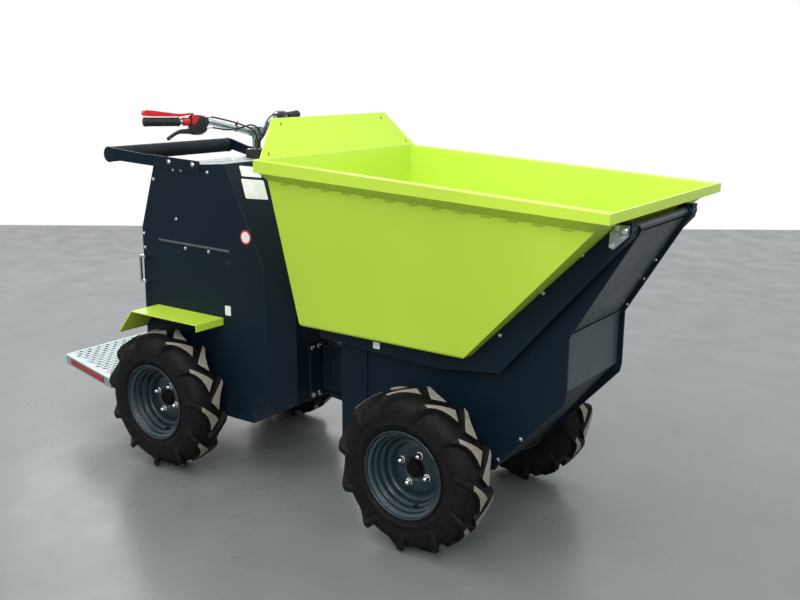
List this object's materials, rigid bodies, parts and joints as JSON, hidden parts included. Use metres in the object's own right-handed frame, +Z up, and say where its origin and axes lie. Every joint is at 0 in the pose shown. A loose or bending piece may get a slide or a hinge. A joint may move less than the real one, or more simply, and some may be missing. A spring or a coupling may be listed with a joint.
{
  "type": "site dumper",
  "caption": "Compact articulated electric site dumper: four lugged wheels, front-tipping lime tub, walk-behind rear cabinet with handlebar and fold-up standing platform.",
  "frame": {"origin": "on the ground, at the middle of the machine's length and width", "axes": "+X forward (tub end), +Y left, +Z up"},
  "size_m": [2.493, 0.8586, 1.3129],
  "materials": {
    "lime_paint": "satin gloss powder coat",
    "slate_paint": "satin powder coat",
    "front_paint": "satin powder coat",
    "rim_paint": "gloss",
    "tyre_rubber": "dusty rubber",
    "console": "gloss",
    "galvanised": "galvanised",
    "bright_steel": "plated",
    "bar_padding": "matt foam rubber",
    "grip_rubber": "moulded rubber",
    "black_plastic": "moulded",
    "red_plastic": "moulded",
    "reflector": "prismatic",
    "cable": "sheath",
    "battery_case": "moulded",
    "axle_paint": "painted"
  },
  "bodies": {
    "rear_frame": {"cabinet_shell": "slate_paint", "cabinet_rear_panel": "slate_paint", "console_top": "console", "cabinet_pulls": "bright_steel", "fender_left": "lime_paint", "fender_right": "lime_paint", "battery_pack": "battery_case", "hip_bar": "bar_padding", "hip_bar_arms": "slate_paint", "rear_axle": "axle_paint", "rear_bracket": "slate_paint", "stem_bearing": "black_plastic", "platform_hinge": "slate_paint"},
    "front_frame": {"nose_plate_left": "slate_paint", "nose_plate_right": "slate_paint", "front_cover_upper": "front_paint", "front_cover_lower": "front_paint", "belly_plate": "slate_paint", "rear_bulkhead": "slate_paint", "hinge_tube": "slate_paint", "front_yoke": "slate_paint", "front_axle": "axle_paint", "tip_cylinder_pin": "bright_steel"},
    "handlebar": {"steering_stem": "bright_steel", "handlebar_tube": "bright_steel", "grips": "grip_rubber", "switch_housings": "black_plastic", "brake_levers": "black_plastic", "safety_lever": "red_plastic", "control_cables": "cable"},
    "platform": {"platform_deck": "galvanised", "reflectors": "reflector"},
    "tub": {"tub_shell": "lime_paint", "tub_lip": "lime_paint", "splash_board": "lime_paint", "tipping_cradle": "slate_paint"},
    "tip_barrel": {"tip_cylinder_barrel": "slate_paint"},
    "tip_rod": {"tip_cylinder_rod": "bright_steel"},
    "wheel_front_left": {"tyre_front_left": "tyre_rubber", "rim_front_left": "rim_paint"},
    "wheel_front_right": {"tyre_front_right": "tyre_rubber", "rim_front_right": "rim_paint"},
    "wheel_rear_left": {"tyre_rear_left": "tyre_rubber", "rim_rear_left": "rim_paint"},
    "wheel_rear_right": {"tyre_rear_right": "tyre_rubber", "rim_rear_right": "rim_paint"}
  },
  "joints": [
    {"name": "articulation", "type": "hinge", "parent": "rear_frame", "child": "front_frame", "pos_m": [0.0585, 0, 0.4], "axis": [0, 0, 1], "range_deg": [-30, 30]},
    {"name": "handlebar_turn", "type": "hinge", "parent": "rear_frame", "child": "handlebar", "pos_m": [-0.3415, 0, 1.17], "axis": [0, 0, 1], "range_deg": [-30, 30]},
    {"name": "platform_fold", "type": "hinge", "parent": "rear_frame", "child": "platform", "pos_m": [-0.7915, 0, 0.262], "axis": [0, 1, 0], "range_deg": [0, 88]},
    {"name": "tub_tip", "type": "hinge", "parent": "front_frame", "child": "tub", "pos_m": [1.2155, 0, 1.047], "axis": [0, 1, 0], "range_deg": [0, 75]},
    {"name": "tip_barrel_swing", "type": "hinge", "parent": "front_frame", "child": "tip_barrel", "pos_m": [0.7535, 0, 0.305], "axis": [0, 1, 0], "range_deg": [-14.36, 0]},
    {"name": "tip_rod_extend", "type": "slide", "parent": "tip_barrel", "child": "tip_rod", "axis": [0.5004, 0, 0.8658], "range_m": [0, 0.2357]},
    {"name": "spin_front_left", "type": "hinge", "parent": "front_frame", "child": "wheel_front_left", "pos_m": [0.6175, 0.345, 0.257], "axis": [0, 1, 0], "continuous": true},
    {"name": "spin_front_right", "type": "hinge", "parent": "front_frame", "child": "wheel_front_right", "pos_m": [0.6175, -0.345, 0.257], "axis": [0, 1, 0], "continuous": true},
    {"name": "spin_rear_left", "type": "hinge", "parent": "rear_frame", "child": "wheel_rear_left", "pos_m": [-0.5005, 0.345, 0.257], "axis": [0, 1, 0], "continuous": true},
    {"name": "spin_rear_right", "type": "hinge", "parent": "rear_frame", "child": "wheel_rear_right", "pos_m": [-0.5005, -0.345, 0.257], "axis": [0, 1, 0], "continuous": true}
  ],
  "couplings": [
    {"joint": "handlebar_turn", "follows": "articulation", "ratio": 1},
    {"joint": "tip_barrel_swing", "follows": "tub_tip", "ratio": -0.19144},
    {"joint": "tip_rod_extend", "follows": "tub_tip", "m_per_rad": 0.18004}
  ]
}
